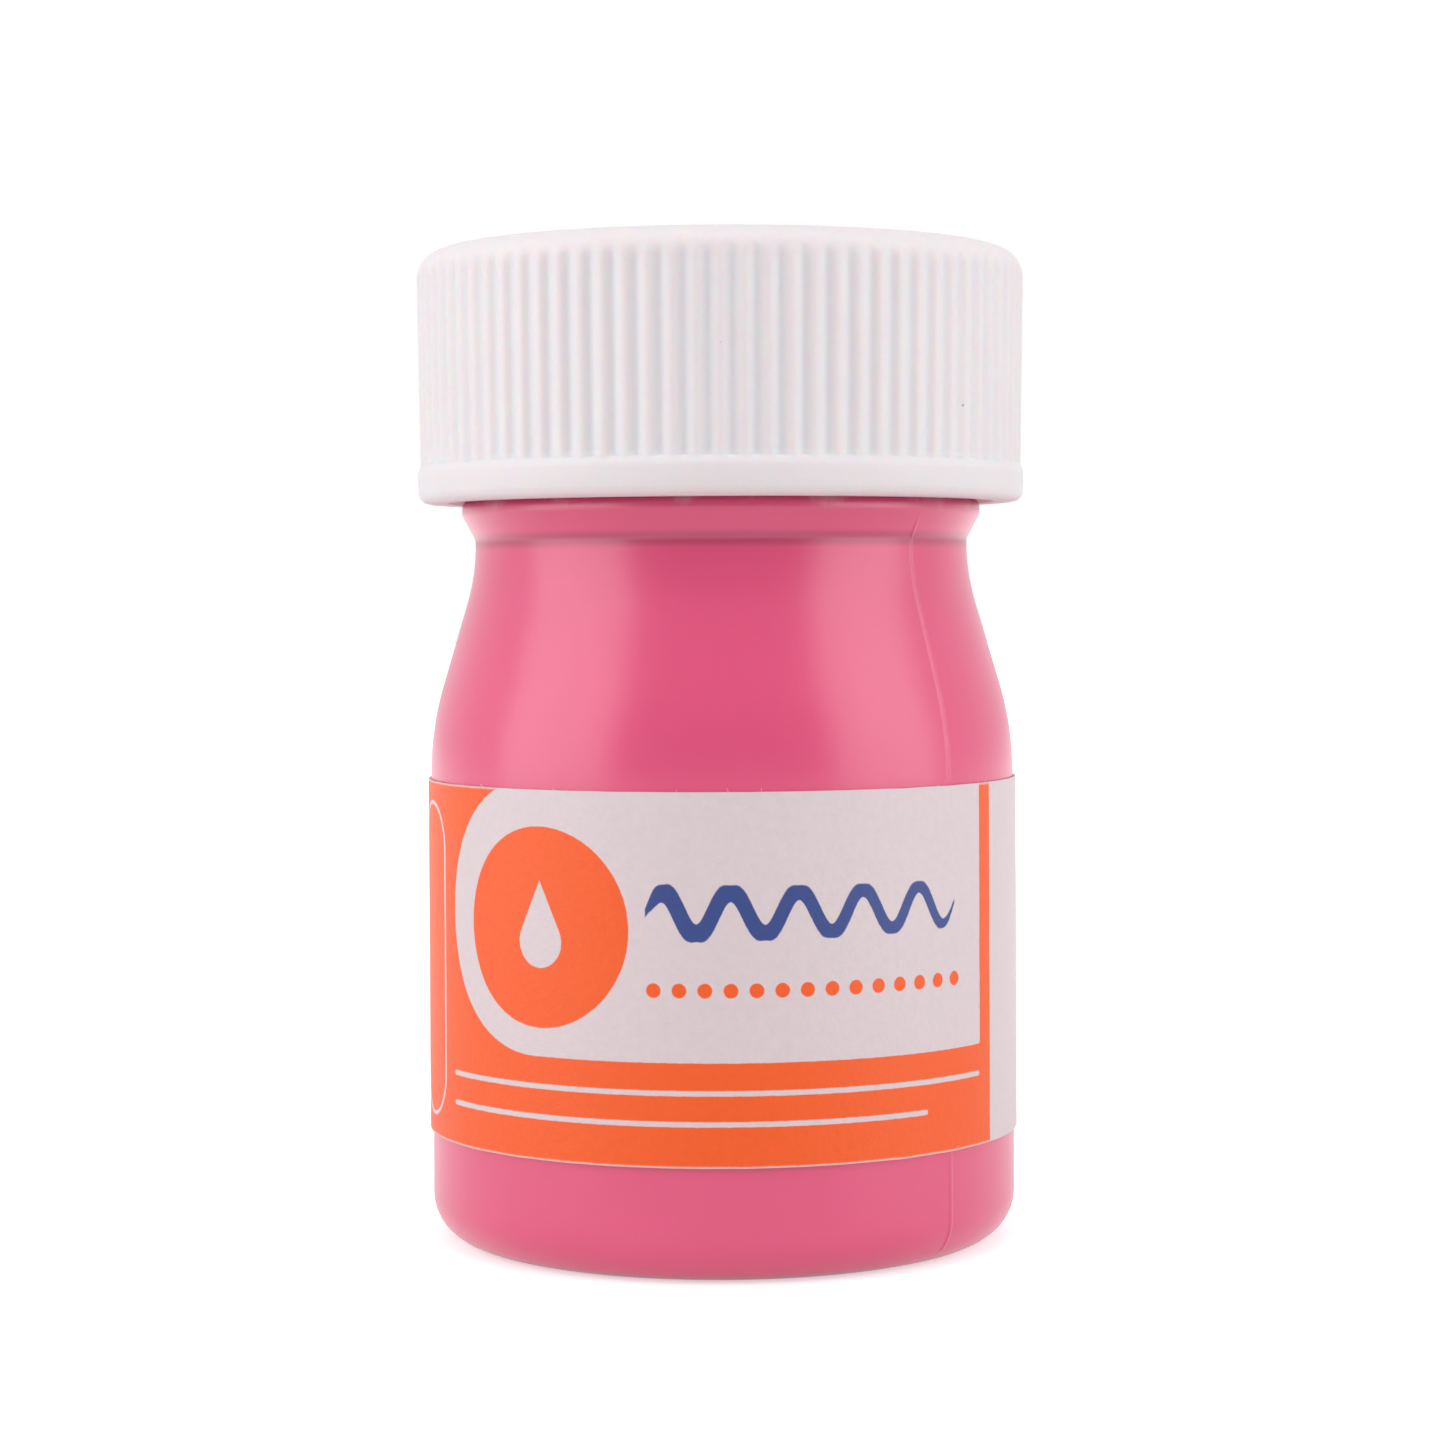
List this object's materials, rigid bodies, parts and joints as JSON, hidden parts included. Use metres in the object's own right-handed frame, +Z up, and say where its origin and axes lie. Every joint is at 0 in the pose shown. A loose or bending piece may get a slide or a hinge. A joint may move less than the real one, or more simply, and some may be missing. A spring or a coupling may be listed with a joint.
{
  "type": "screw-top paint jar",
  "caption": "Small cylindrical plastic paint jar with a sloping shoulder, a ribbed screw cap, a wrap-around label and paint inside.",
  "frame": {"origin": "on the jar's axis, in the plane its foot ring stands on", "axes": "+Z up along the jar's axis; -Y towards the front of the label; +X to the right of someone facing the front"},
  "size_m": [0.0316, 0.0316, 0.0514],
  "materials": {
    "bottle": "satin translucent plastic, tinted by the paint behind it",
    "cap": "satin white plastic",
    "sealing_wad": "matte foam",
    "label": "matte printed paper",
    "paint": "wet gloss"
  },
  "bodies": {
    "bottle": {"bottle": "bottle", "label": "label", "paint": "paint"},
    "wad": {"sealing_wad": "sealing_wad"},
    "cap": {"cap": "cap"}
  },
  "joints": [
    {"name": "cap_rise", "type": "slide", "parent": "bottle", "child": "wad", "axis": [0, 0, 1], "range_m": [0, 0.0127]},
    {"name": "cap_turn", "type": "hinge", "parent": "wad", "child": "cap", "pos_m": [0, 0, 0.045], "axis": [0, 0, 1], "range_deg": [0, 1080]}
  ],
  "couplings": [
    {"joint": "cap_rise", "follows": "cap_turn", "m_per_rad": 0.0006737}
  ]
}
